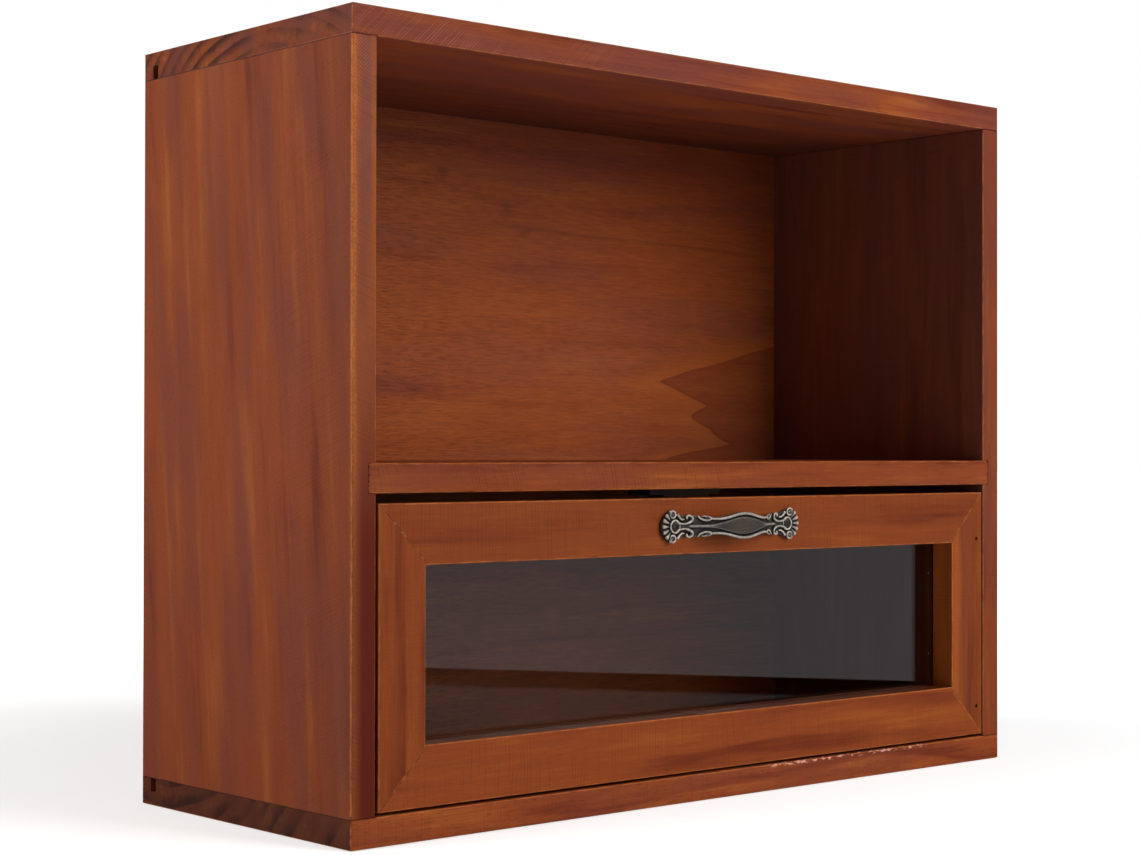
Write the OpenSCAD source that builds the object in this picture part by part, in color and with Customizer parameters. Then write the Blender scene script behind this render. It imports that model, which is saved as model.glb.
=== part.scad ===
// Two-tier bread cabinet: an open compartment above, a drop-front glass door below.
// Frame: origin at the middle of the underside, +X to the right, +Y to the back, +Z up.
// The door's front face and the carcass's front edges lie in one plane, at y = front_y.

/* [Cabinet] */
// Overall width
width = 400; // [300:1:600]
// Depth of the boards, front to back
depth = 155.5; // [120:0.5:240]
// Overall height
height = 328; // [300:1:480]
// Thickness of the carcass boards
board_t = 12; // [10:0.5:16]
// Radius of the eased arrises
edge_r = 1; // [0.4:0.1:1.5]

/* [Shelf and back] */
// Height of the shelf's underside
shelf_z = 137.7; // [130:0.1:170]
// Depth of the dados that hold the shelf
dado_d = 4; // [2:0.5:6]
// Thickness of the back panel
back_t = 3.6; // [3:0.1:5]
// Width of the groove that holds the back panel
groove_w = 4; // [3.5:0.1:6]
// Depth of that groove
groove_d = 6; // [3:0.5:7]
// Distance from the boards' back edges to the groove
groove_inset = 7.6; // [5:0.1:14]

/* [Door] */
// Thickness of the door frame
door_t = 18; // [16:0.5:20]
// Width of the stiles
stile_w = 23.2; // [20:0.1:32]
// Width of the rails
rail_w = 24.7; // [20:0.1:32]
// Gap at each side of the door
side_gap = 1.2; // [0.8:0.1:2]
// Gap under the door
bottom_gap = 1.3; // [1:0.1:2.5]
// Gap above the door
top_gap = 3.9; // [2:0.1:5]
// Depth of the reveal in front of the glass
reveal_d = 12; // [10:0.5:13]
// Thickness of the glass
glass_t = 2; // [2:0.5:3]
// Width of the rebate for the glass
rebate_w = 6; // [5:0.5:8]

/* [Hinge] */
// Diameter of the pivot pins
pin_d = 3.5; // [3:0.5:4]
// Height of the pivot above the door's lower edge
pin_up = 11; // [10:0.5:13]
// Distance from the door's front face to the pivot
pin_back = 5; // [4:0.5:6]
// How far a pin reaches into the side board
pin_in_side = 8; // [5:0.5:8]
// How far a pin reaches into the stile
pin_in_stile = 8; // [6:0.5:8]

/* [Handle] */
// Overall length of the handle
handle_l = 88; // [80:1:96]
// Distance between its screws
handle_pitch = 71; // [66:1:76]
// Height of its shell ends
handle_end_h = 14.4; // [12:0.1:16]
// Height of the swelling at its middle
handle_mid_h = 12; // [9:0.1:14]
// Height of its narrow necks
handle_neck_h = 7.6; // [6:0.1:9]
// How far its bow stands proud of the door
handle_proud = 9.8; // [8:0.1:12]
// Thickness of the casting
handle_t = 2.6; // [2:0.1:3]
// How far it sits to the right of the door's middle
handle_shift = 7; // [-10:0.5:10]

/* [Hidden] */

$fn = 48;
eps = 0.01;

// Carcass planes
half_w = width / 2;
inner_x = half_w - board_t;
front_y = -depth / 2;
back_y = depth / 2;
panel_y = back_y - groove_inset - groove_w;
panel_hx = inner_x + groove_d - 0.5;

// Door planes
door_hx = inner_x - side_gap;
door_z0 = board_t + bottom_gap;
door_z1 = shelf_z - top_gap;
door_h = door_z1 - door_z0;
door_mid_z = (door_z0 + door_z1) / 2;
glass_y = front_y + reveal_d;
bead_y = glass_y + glass_t;
door_back = front_y + door_t;
window_hx = door_hx - stile_w;
window_z0 = door_z0 + rail_w;
window_z1 = door_z1 - rail_w;
door_ease = 0.6;

// Pivot
pivot_y = front_y + pin_back;
pivot_z = door_z0 + pin_up;
pin_play = 0.05;
pin_end_gap = 0.5;

// Hidden dowels of the carcass
dowel_d = 6;
dowel_in_board = 8;
dowel_in_side = 14;
dowel_y = [front_y + 30, back_y - 35];

// Splines across the mitres, and the brads in the right-hand stile, their heads
// punched below its face
spline_t = 3;
spline_y = front_y + 9.5;
spline_across = 16;
spline_along = 10;
brad_d = 1.2;
brad_l = 14.6;
brad_head_d = 1.9;
brad_head_t = 0.8;
brad_sunk = 0.6;
brad_x = door_hx - 4.3;
brad_z = [door_z0 + 14.1, door_z1 - 23];

// Pins of the glazing beads
glaze_pin_d = 1;
glaze_pin_l = 14;
glaze_pin_y = (bead_y + door_back) / 2;

// Magnetic catch
catch_w = 28;
catch_ear = 9;
catch_d = 15;
catch_h = 14;
catch_ear_t = 3;
strike_t = 1;
strike_size = [36, 12.5];
strike_z = door_z1 - 7;
strike_screw_d = 2.6;
strike_head_d = 4.6;
magnet_gap = 0.4;
catch_y = door_back + strike_t + 1.4;
pole_y = door_back + strike_t + magnet_gap;
pole_size = [22, 12, 1.2];
magnet_size = [20, 10, 4];
magnet_z = strike_z + 3;

// Handle
handle_z = door_z1 - 12.4;
handle_pad_t = 2.4;
handle_end_r = handle_end_h / 2;
handle_end_x = handle_l / 2 - handle_end_r;
bow_hx = 31;
bow_step = 2;
shoulder_h = 10.4;

module rounded_square(size, r) {
    translate([r, 0]) square([size.x - 2 * r, size.y]);
    translate([0, r]) square([size.x, size.y - 2 * r]);
    for (x = [r, size.x - r], y = [r, size.y - r]) translate([x, y]) circle(r);
}

// Extrudes a section drawn in (y, z) along X, from x = 0
module along_x(length) {
    rotate([90, 0, 90]) linear_extrude(length) children();
}

// Extrudes a shape drawn in (x, z) along Y, from y = 0
module along_y(length) {
    translate([0, length, 0]) rotate([90, 0, 0]) linear_extrude(length) children();
}

// A round rod from one point, along +X, +Y or +Z
module rod_x(d, length) rotate([0, 90, 0]) cylinder(d = d, h = length);
module rod_y(d, length) rotate([-90, 0, 0]) cylinder(d = d, h = length);

module mirrored_x() {
    children();
    mirror([1, 0, 0]) children();
}

// ---- Carcass ----

// Full-width board at z = 0 to board_t, grooved in its upper face, eased everywhere
// but along the ends' upper edges, where the sides stand on it
module cap_board() {
    difference() {
        intersection() {
            translate([-half_w, front_y, 0]) along_x(width) rounded_square([depth, board_t], edge_r);
            translate([-half_w, front_y, 0]) linear_extrude(board_t)
                rounded_square([width, depth], edge_r);
            translate([-half_w, front_y, 0]) along_y(depth)
                rounded_square([width, 2 * board_t], edge_r);
        }
        translate([-half_w - 1, panel_y, board_t - groove_d])
            cube([width + 2, groove_w, groove_d + 1]);
        mirrored_x() side_dowels();
    }
}

// The two dowels at the right-hand end of a cap board
module side_dowels() {
    for (y = dowel_y) translate([half_w - board_t / 2, y, board_t - dowel_in_board])
        cylinder(d = dowel_d, h = dowel_in_board + dowel_in_side);
}

module carcass_dowels() {
    color("burlywood") mirrored_x() {
        side_dowels();
        translate([0, 0, height]) mirror([0, 0, 1]) side_dowels();
    }
}

module bottom_board() color("saddlebrown") cap_board();

module top_board() {
    color("saddlebrown") translate([0, 0, height]) mirror([0, 0, 1]) cap_board();
}

module right_side() {
    color("sienna") difference() {
        translate([inner_x, front_y, board_t]) linear_extrude(height - 2 * board_t)
            rounded_square([board_t, depth], edge_r);
        translate([inner_x - 1, front_y - 1, shelf_z]) cube([dado_d + 1, depth + 2, board_t]);
        translate([inner_x - 1, panel_y, board_t - 1])
            cube([groove_d + 1, groove_w, height - 2 * board_t + 2]);
        side_dowels();
        translate([0, 0, height]) mirror([0, 0, 1]) side_dowels();
        translate([inner_x - 1, pivot_y, pivot_z])
            rod_x(pin_d + 2 * pin_play, pin_in_side + pin_end_gap + 1);
    }
}

module left_side() mirror([1, 0, 0]) right_side();

module shelf() {
    reach = panel_y - front_y;
    color("sienna") difference() {
        translate([-inner_x - dado_d, front_y, shelf_z]) along_x(2 * (inner_x + dado_d))
            intersection() {
                rounded_square([2 * reach, board_t], edge_r);
                square([reach, board_t]);
            }
        catch_screw_shanks();
    }
}

module back_panel() {
    color("peru") translate([-panel_hx, panel_y, board_t - groove_d + 0.5])
        cube([2 * panel_hx, back_t, height - 2 * board_t + 2 * groove_d - 1]);
}

// ---- Magnetic catch under the shelf ----

module catch_screw_at() {
    for (side = [-1, 1])
        translate([side * (catch_w + catch_ear) / 2, catch_y + catch_d / 2, shelf_z - catch_ear_t])
            children();
}

module catch_screw_shanks() catch_screw_at() cylinder(d = 3, h = 10);

module catch_screws() {
    color("silver") catch_screw_at() {
        cylinder(d = 3, h = 10);
        difference() {
            translate([0, 0, -1.8]) cylinder(d1 = 4.2, d2 = 5.6, h = 1.8);
            for (turn = [0, 90]) rotate(turn)
                translate([-1.6, -0.35, -2]) cube([3.2, 0.7, 1.1]);
        }
    }
}

// The magnet between its two pole plates, as one block
module magnet_stack() {
    stack_h = magnet_size.z + 2 * pole_size.z;
    translate([-pole_size.x / 2, pole_y, magnet_z - stack_h / 2])
        cube([pole_size.x, pole_size.y, stack_h]);
}

module catch_body() {
    color("dimgray") difference() {
        union() {
            translate([-catch_w / 2, catch_y, shelf_z - catch_h]) along_y(catch_d)
                intersection() {
                    rounded_square([catch_w, 2 * catch_h], 1.5);
                    square([catch_w, catch_h]);
                }
            translate([0, catch_y, shelf_z - catch_ear_t]) linear_extrude(catch_ear_t)
                translate([-catch_w / 2 - catch_ear, 0])
                    rounded_square([catch_w + 2 * catch_ear, catch_d], 2);
        }
        magnet_stack();
        catch_screw_shanks();
    }
}

module catch_magnet() {
    color("black") translate([-magnet_size.x / 2, pole_y + 1, magnet_z - magnet_size.z / 2])
        cube(magnet_size);
}

module catch_poles() {
    color("silver") for (side = [-1, 1])
        translate([-pole_size.x / 2, pole_y,
                   magnet_z + side * (magnet_size.z + pole_size.z) / 2 - pole_size.z / 2])
            cube(pole_size);
}

// ---- Door frame ----

// One mitred member: outer edge on z = 0, front on y = 0, centred on x = 0. The members
// that meet it at the mitres are end_w wide.
module mitred_member(length, w, end_w) {
    intersection() {
        translate([-length / 2, 0, 0]) along_x(length) difference() {
            rounded_square([door_t, w], door_ease);
            translate([reveal_d, w - rebate_w]) square([door_t, rebate_w + 1]);
        }
        translate([0, -1, 0]) along_y(door_t + 2)
            polygon([[-length / 2, 0], [length / 2, 0],
                     [length / 2 - end_w, w], [-length / 2 + end_w, w]]);
    }
}

// What is let into the frame: splines, pins and screws
module frame_cuts() {
    spline_plates();
    hinge_pin_rods();
    brad_rods();
    brad_holes();
    glazing_pin_rods();
    handle_screw_shanks();
    strike_screw_shank();
}

module door_bottom_rail() {
    color("chocolate") difference() {
        translate([0, front_y, door_z0]) mitred_member(2 * door_hx, rail_w, stile_w);
        frame_cuts();
    }
}

module door_top_rail() {
    color("chocolate") difference() {
        translate([0, front_y, door_z1]) mirror([0, 0, 1])
            mitred_member(2 * door_hx, rail_w, stile_w);
        frame_cuts();
    }
}

// The left-hand stile before it is bored
module stile_blank() {
    translate([-door_hx, front_y, door_mid_z]) rotate([0, 90, 0])
        mitred_member(door_h, stile_w, rail_w);
}

module door_left_stile() {
    color("chocolate") difference() {
        stile_blank();
        frame_cuts();
    }
}

module door_right_stile() {
    color("chocolate") difference() {
        mirror([1, 0, 0]) stile_blank();
        frame_cuts();
    }
}

// Plates across the four mitres, at right angles to them, hidden in the frame
module spline_plates() {
    for (side = [-1, 1], end = [-1, 1]) {
        mid_x = side * (door_hx - stile_w / 2);
        mid_z = door_mid_z + end * (door_h - rail_w) / 2;
        translate([mid_x, spline_y, mid_z]) rotate([0, side * end * 45, 0])
            cube([spline_across, spline_t, spline_along], center = true);
    }
}

module mitre_splines() {
    color("burlywood") difference() {
        spline_plates();
        brad_rods();
    }
}

module brad_rods() {
    for (z = brad_z) translate([brad_x, front_y + brad_sunk, z]) {
        rod_y(brad_head_d, brad_head_t);
        rod_y(brad_d, brad_l);
    }
}

// The open holes in front of the sunk heads
module brad_holes() {
    for (z = brad_z)
        translate([brad_x, front_y - 1, z]) rod_y(brad_head_d, 1 + brad_sunk + eps);
}

module stile_brads() color("black") brad_rods();

// ---- Glass and beads ----

module glass_pane() {
    margin = rebate_w - 0.5;
    color("lightsteelblue", 0.4)
        translate([-window_hx - margin, glass_y, window_z0 - margin])
            cube([2 * (window_hx + margin), glass_t, window_z1 - window_z0 + 2 * margin]);
}

// A bead's blank, from one corner to the other of its box in (x, z)
module bead_blank(low, high) {
    translate([low.x, bead_y, low.y])
        cube([high.x - low.x, door_back - bead_y, high.y - low.y]);
}

module bead_bottom() {
    color("chocolate") difference() {
        bead_blank([-window_hx - rebate_w, window_z0 - rebate_w],
                   [window_hx + rebate_w, window_z0]);
        glazing_pin_rods();
    }
}

module bead_top() {
    color("chocolate") difference() {
        bead_blank([-window_hx - rebate_w, window_z1],
                   [window_hx + rebate_w, window_z1 + rebate_w]);
        glazing_pin_rods();
    }
}

module bead_left() {
    color("chocolate") difference() {
        bead_blank([-window_hx - rebate_w, window_z0], [-window_hx, window_z1]);
        glazing_pin_rods();
    }
}

module bead_right() {
    color("chocolate") difference() {
        bead_blank([window_hx, window_z0], [window_hx + rebate_w, window_z1]);
        glazing_pin_rods();
    }
}

// Pins driven from the window side through the beads into the frame
module glazing_pin_rods() {
    for (x = [-130, 0, 130] * window_hx / 163) translate([x, glaze_pin_y, 0]) {
        translate([0, 0, window_z0 - glaze_pin_l]) cylinder(d = glaze_pin_d, h = glaze_pin_l);
        translate([0, 0, window_z1]) cylinder(d = glaze_pin_d, h = glaze_pin_l);
    }
    for (z = [-20, 20]) translate([0, glaze_pin_y, door_mid_z + z]) mirrored_x()
        translate([window_hx, 0, 0]) rod_x(glaze_pin_d, glaze_pin_l);
}

module glazing_pins() color("silver") glazing_pin_rods();

// ---- Hinge pins ----

module right_pin_rod() {
    translate([door_hx - pin_in_stile, pivot_y, pivot_z])
        rod_x(pin_d, pin_in_stile + side_gap + pin_in_side);
}

module hinge_pin_rods() mirrored_x() right_pin_rod();

module hinge_pin_right() color("silver") right_pin_rod();

module hinge_pin_left() color("silver") mirror([1, 0, 0]) right_pin_rod();

// ---- Strike plate of the catch ----

module strike_screw_shank() {
    translate([0, door_back - 9, strike_z]) rod_y(strike_screw_d, 9);
}

module strike_plate() {
    color("silver") difference() {
        translate([-strike_size.x / 2, door_back, strike_z - strike_size.y / 2])
            along_y(strike_t) rounded_square(strike_size, 2);
        translate([0, door_back - 1, strike_z]) rod_y(strike_screw_d + 2 * pin_play, 2);
        translate([0, door_back, strike_z]) rotate([-90, 0, 0])
            cylinder(d1 = strike_screw_d + 2 * pin_play,
                     d2 = strike_head_d + 4 * pin_play, h = strike_t + eps);
    }
}

module strike_screw() {
    color("dimgray") {
        strike_screw_shank();
        translate([0, door_back, strike_z]) rotate([-90, 0, 0])
            cylinder(d1 = strike_screw_d, d2 = strike_head_d, h = strike_t);
    }
}

// ---- Handle ----

// How far the casting's front stands from the door, at x from its middle
function bow_front(x) = abs(x) >= bow_hx ? handle_pad_t
    : handle_pad_t + (handle_proud - handle_pad_t) * sin(90 * (1 + cos(180 * x / bow_hx)) / 2);

// Half the height of its outline between the shell ends
function bow_half_h(x) = let (neck_x = 15)
    abs(x) < neck_x
        ? handle_neck_h / 2 + (handle_mid_h - handle_neck_h) / 4 * (1 + cos(180 * x / neck_x))
        : handle_neck_h / 2 + (shoulder_h - handle_neck_h) / 4
            * (1 - cos(180 * (abs(x) - neck_x) / (handle_end_x - neck_x)));

module handle_outline() {
    stations = [for (x = [-handle_end_x : bow_step : handle_end_x + eps]) x];
    polygon(concat([for (x = stations) [x, bow_half_h(x)]],
                   [for (i = [len(stations) - 1 : -1 : 0])
                       [stations[i], -bow_half_h(stations[i])]]));
    mirrored_x() translate([handle_end_x, 0]) circle(handle_end_r);
}

// Side view in (x, y): flat pads at the ends and the bow between them
module handle_profile() {
    inner_hx = bow_hx - 4;
    stations = [for (x = [-bow_hx : bow_step : bow_hx + eps]) x];
    inner = [for (x = [-inner_hx : bow_step : inner_hx + eps]) x];
    polygon(concat(
        [[-handle_l / 2, 0], [-handle_l / 2, -handle_pad_t]],
        [for (x = stations) [x, -bow_front(x)]],
        [[handle_l / 2, -handle_pad_t], [handle_l / 2, 0], [inner_hx, 0]],
        [for (i = [len(inner) - 1 : -1 : 0]) [inner[i], handle_t - bow_front(inner[i])]],
        [[-inner_hx, 0]]));
}

module handle_screw_at() {
    for (side = [-1, 1])
        translate([handle_shift + side * handle_pitch / 2, front_y, handle_z]) children();
}

module handle_screw_shanks() {
    handle_screw_at() translate([0, -handle_pad_t, 0]) rod_y(2.6, handle_pad_t + 11);
}

module handle() {
    color("dimgray") difference() {
        translate([handle_shift, front_y, handle_z]) intersection() {
            translate([0, -2 * handle_proud, 0]) along_y(2 * handle_proud) handle_outline();
            translate([0, 0, -handle_l]) linear_extrude(2 * handle_l) handle_profile();
        }
        handle_screw_at() translate([0, -handle_pad_t - 1, 0]) rod_y(3, handle_pad_t + 2);
    }
}

// Low domed heads with a cross recess, on shanks that go into the top rail
module handle_screws() {
    head_d = 4.2;
    head_h = 1;
    recess_l = 2.6;
    recess_w = 0.6;
    recess_depth = 0.7;
    dome_r = (head_d * head_d / 4 + head_h * head_h) / (2 * head_h);
    color("gray") {
        handle_screw_shanks();
        handle_screw_at() translate([0, -handle_pad_t, 0]) difference() {
            intersection() {
                translate([0, dome_r - head_h, 0]) sphere(dome_r);
                translate([0, -head_h, 0]) rod_y(head_d + 1, head_h);
            }
            for (turn = [45, 135]) rotate([0, turn, 0])
                translate([-recess_l / 2, -head_h - 1, -recess_w / 2])
                    cube([recess_l, recess_depth + 1, recess_w]);
        }
    }
}

top_board();
bottom_board();
left_side();
right_side();
shelf();
back_panel();
carcass_dowels();
catch_body();
catch_magnet();
catch_poles();
catch_screws();
door_top_rail();
door_bottom_rail();
door_left_stile();
door_right_stile();
mitre_splines();
stile_brads();
glass_pane();
bead_top();
bead_bottom();
bead_left();
bead_right();
glazing_pins();
handle();
handle_screws();
hinge_pin_left();
hinge_pin_right();
strike_plate();
strike_screw();
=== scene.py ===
"""Looks of the two-tier bread cabinet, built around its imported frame."""
import math

import bpy
import numpy as np
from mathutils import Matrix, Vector


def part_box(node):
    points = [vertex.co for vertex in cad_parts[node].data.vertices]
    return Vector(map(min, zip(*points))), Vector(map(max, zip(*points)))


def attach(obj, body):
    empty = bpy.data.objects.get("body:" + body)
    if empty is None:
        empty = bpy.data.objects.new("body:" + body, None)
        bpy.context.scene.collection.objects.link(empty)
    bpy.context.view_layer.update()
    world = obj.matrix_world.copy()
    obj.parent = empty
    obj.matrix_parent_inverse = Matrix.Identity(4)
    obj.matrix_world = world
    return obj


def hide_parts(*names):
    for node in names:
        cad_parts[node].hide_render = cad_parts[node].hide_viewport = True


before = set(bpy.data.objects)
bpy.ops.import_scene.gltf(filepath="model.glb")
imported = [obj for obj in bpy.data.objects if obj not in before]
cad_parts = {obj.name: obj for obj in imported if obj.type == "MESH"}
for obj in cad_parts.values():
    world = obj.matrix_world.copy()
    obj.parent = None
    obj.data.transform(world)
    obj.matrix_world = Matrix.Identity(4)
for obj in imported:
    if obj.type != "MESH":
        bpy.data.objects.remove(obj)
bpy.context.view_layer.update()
MM = 0.001


# ---- Small helpers ----

def srgb(red, green, blue):
    """A linear colour from 8-bit display values."""
    def linear(value):
        value /= 255
        return value / 12.92 if value <= 0.04045 else ((value + 0.055) / 1.055) ** 2.4
    return (linear(red), linear(green), linear(blue), 1.0)


class Shader:
    """A material's node tree. Each call adds a node and returns its output socket."""

    def __init__(self, name):
        self.material = bpy.data.materials.new(name)
        self.material.use_nodes = True
        self.tree = self.material.node_tree
        self.surface = self.tree.nodes["Principled BSDF"]

    def put(self, socket, value):
        """Links an output to the socket, or sets a plain value."""
        if isinstance(value, bpy.types.NodeSocket):
            self.tree.links.new(value, socket)
        else:
            socket.default_value = value

    def add(self, kind, inputs, output=0, **settings):
        node = self.tree.nodes.new("ShaderNode" + kind)
        for key, value in settings.items():
            setattr(node, key, value)
        for key, value in inputs.items():
            self.put(node.inputs[key], value)
        return node.outputs[output]

    def math(self, operation, *values):
        return self.add("Math", dict(enumerate(values)), operation=operation)

    def total(self, *values):
        result = values[0]
        for value in values[1:]:
            result = self.math("ADD", result, value)
        return result

    def product(self, *values):
        result = values[0]
        for value in values[1:]:
            result = self.math("MULTIPLY", result, value)
        return result

    def scaled(self, value, factor, offset=0.0):
        """value * factor + offset"""
        return self.math("MULTIPLY_ADD", value, factor, offset)

    def between(self, value, low, high, start=0.0, end=1.0):
        """Goes smoothly from start at low to end at high."""
        return self.add("MapRange", {"Value": value, "From Min": low, "From Max": high,
                                     "To Min": start, "To Max": end},
                        interpolation_type="SMOOTHSTEP")

    def vector(self, x=0.0, y=0.0, z=0.0):
        return self.add("CombineXYZ", {"X": x, "Y": y, "Z": z})

    def noise(self, vector, scale=1.0, detail=2.0, roughness=0.5):
        return self.add("TexNoise", {"Vector": vector, "Scale": scale, "Detail": detail,
                                     "Roughness": roughness})

    def mix(self, factor, first, second, blend="MIX"):
        """Blends two colours. The Mix node's colour sockets share their names, so they go by number."""
        return self.add("Mix", {0: factor, 6: first, 7: second}, output=2,
                        data_type="RGBA", blend_type=blend)

    def place(self):
        """The point's X, Y and Z in the object's own frame, in millimetres."""
        point = self.add("TexCoord", {}, output="Object")
        scaled = self.add("VectorMath", {"Vector": point, "Scale": 1 / MM}, operation="SCALE")
        parts = self.tree.nodes.new("ShaderNodeSeparateXYZ")
        self.put(parts.inputs[0], scaled)
        return {"X": parts.outputs[0], "Y": parts.outputs[1], "Z": parts.outputs[2]}

    def finish(self, colour=None, roughness=None, height=None, **values):
        """Links the maps, sets the plain values and returns the material. height is in mm."""
        names = {"specular": "Specular IOR Level", "metallic": "Metallic", "ior": "IOR",
                 "transmission": "Transmission Weight"}
        if colour is not None:
            self.put(self.surface.inputs["Base Color"], colour)
        if roughness is not None:
            self.put(self.surface.inputs["Roughness"], roughness)
        if height is not None:
            bump = self.add("Bump", {"Strength": 1.0, "Distance": MM, "Height": height})
            self.put(self.surface.inputs["Normal"], bump)
        for key, value in values.items():
            self.surface.inputs[names[key]].default_value = value
        return self.material


# ---- Wood ----

SEED_STEP = 173.0
FACE_REACH = 0.4
WHITE = (1.0, 1.0, 1.0, 1.0)
BLACK = (0.0, 0.0, 0.0, 1.0)
DARK = srgb(114, 46, 24)
MID = srgb(146, 69, 31)
LIGHT = srgb(170, 92, 38)
PURPLE = srgb(120, 60, 50)
WORN_HIGHLIGHT = srgb(206, 122, 66)
CHIP = srgb(226, 168, 150)
GROOVE = srgb(84, 32, 16)
LINE = srgb(30, 10, 6)
SAWN = srgb(178, 112, 98)
SHEEN_GREY = srgb(120, 80, 70)
EDGE_BROWN = srgb(140, 76, 36)
EDGE_GOLD = srgb(186, 110, 48)
EDGE_BRUISE = srgb(108, 58, 52)
EDGE_STAIN = srgb(84, 24, 10)
EDGE_HATCH = srgb(196, 132, 112)
FIGURE_BROWN = srgb(112, 48, 26)
OPEN_PORE = srgb(58, 24, 14)


class Board(Shader):
    """A stained board. axes names the axes of its grain, its width and its thickness."""

    def __init__(self, name, axes, seed, low, high):
        super().__init__(name)
        self.at = self.place()
        self.along, self.wide, self.thick = (self.at[axis] for axis in axes)
        self.axes = axes
        self.shift = seed * SEED_STEP
        self.low = dict(zip("XYZ", (c / MM for c in low)))
        self.high = dict(zip("XYZ", (c / MM for c in high)))

    def field(self, long, across, detail=2.0, roughness=0.5, offset=0.0):
        """Noise whose features are long mm along the grain and across mm over it."""
        return self.noise(self.vector(self.scaled(self.along, 1 / long, self.shift + offset),
                                      self.scaled(self.wide, 1 / across),
                                      self.scaled(self.thick, 1 / across)),
                          detail=detail, roughness=roughness)

    def within(self, axis, low, high, soft=1.0):
        """1 where the axis lies from low to high, fading over soft mm outside."""
        return self.product(self.between(self.at[axis], low - soft, low),
                            self.between(self.at[axis], high, high + soft, 1.0, 0.0))

    def on_face(self, axis, at):
        """1 on the face that lies at that place along the axis."""
        return self.within(axis, at - FACE_REACH, at + FACE_REACH, 0.2)

    def arris_distance(self):
        """Distance from a point on the board's surface to its nearest arris."""
        gaps = []
        for axis in "XYZ":
            centre = (self.low[axis] + self.high[axis]) / 2
            off = self.math("ABSOLUTE", self.math("SUBTRACT", self.at[axis], centre))
            gaps.append(self.math("SUBTRACT", (self.high[axis] - self.low[axis]) / 2, off))
        least = self.math("MINIMUM", gaps[0], gaps[1])
        most = self.math("MAXIMUM", gaps[0], gaps[1])
        return self.math("MINIMUM", most, self.math("MAXIMUM", least, gaps[2]))

    def end_grain(self):
        """1 on the two faces that cut across the grain."""
        axis = self.axes[0]
        centre = (self.low[axis] + self.high[axis]) / 2
        half = (self.high[axis] - self.low[axis]) / 2
        off = self.math("ABSOLUTE", self.math("SUBTRACT", self.along, centre))
        return self.between(off, half - 0.7, half - 0.1)

    def ring_lines(self, pith, ring):
        """Late wood of the growth rings round the pith, so that all faces agree."""
        bend = self.scaled(self.field(230, 60, 2), 26.0, -13.0)
        side = self.total(self.wide, bend, -pith[0])
        depth = self.math("SUBTRACT", self.thick, pith[1])
        radius = self.math("SQRT", self.total(self.product(side, side), self.product(depth, depth)))
        phase = self.math("FRACT", self.scaled(radius, 1 / ring))
        return self.product(self.between(phase, 0.25, 0.85), self.between(phase, 1.0, 0.88))

    def cross_marks(self, slope, pitch):
        """Fine lines left across the grain by the saw, pitch mm apart, leaning by slope."""
        cross = self.total(self.along, self.product(self.total(self.wide, self.thick), slope),
                           self.scaled(self.field(18, 40, 1, 0.5, 83), 5.0))
        wave = self.math("SINE", self.scaled(cross, math.tau / pitch))
        strength = self.noise(self.vector(self.scaled(cross, 0.9 / pitch, self.shift),
                                          self.scaled(self.wide, 1 / 30),
                                          self.scaled(self.thick, 1 / 30)), detail=1.0)
        return self.product(self.between(wave, 0.1, 1.0), self.between(strength, 0.36, 0.62))


def paint_face_light(s, level, faces):
    """Paints light and shade on whole faces, each going from its front to its back factor."""
    for axis, at, front, back in faces:
        on_face = s.on_face(axis, at)
        depth = s.between(s.at["Y"], s.low["Y"] + 1.0, s.high["Y"], front - 1.0, back - 1.0)
        behind = s.between(s.at["Y"], s.low["Y"] + 0.3, s.low["Y"] + 1.2)
        level = s.product(level, s.total(s.product(on_face, depth, behind), 1.0))
    return level


def along_joints(s, rub_and_highlight, joints):
    """Keeps the worn and highlighted arrises off the joints. Returns them with the hairline that runs
    along each joint.
    """
    hair = 0.0
    for axis, at, zones in joints:
        gap = s.math("ABSOLUTE", s.math("SUBTRACT", s.at[axis], at))
        near = s.between(gap, 1.2, 2.0, 1.0, 0.0)
        line = s.between(gap, 0.12, 0.32, 1.0, 0.0)
        for zone in zones:
            near, line = (s.product(part, s.within(*zone)) for part in (near, line))
        rub_and_highlight = s.product(rub_and_highlight, s.scaled(near, -1.0, 1.0))
        hair = s.math("MAXIMUM", hair, line)
    return rub_and_highlight, hair


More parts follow.
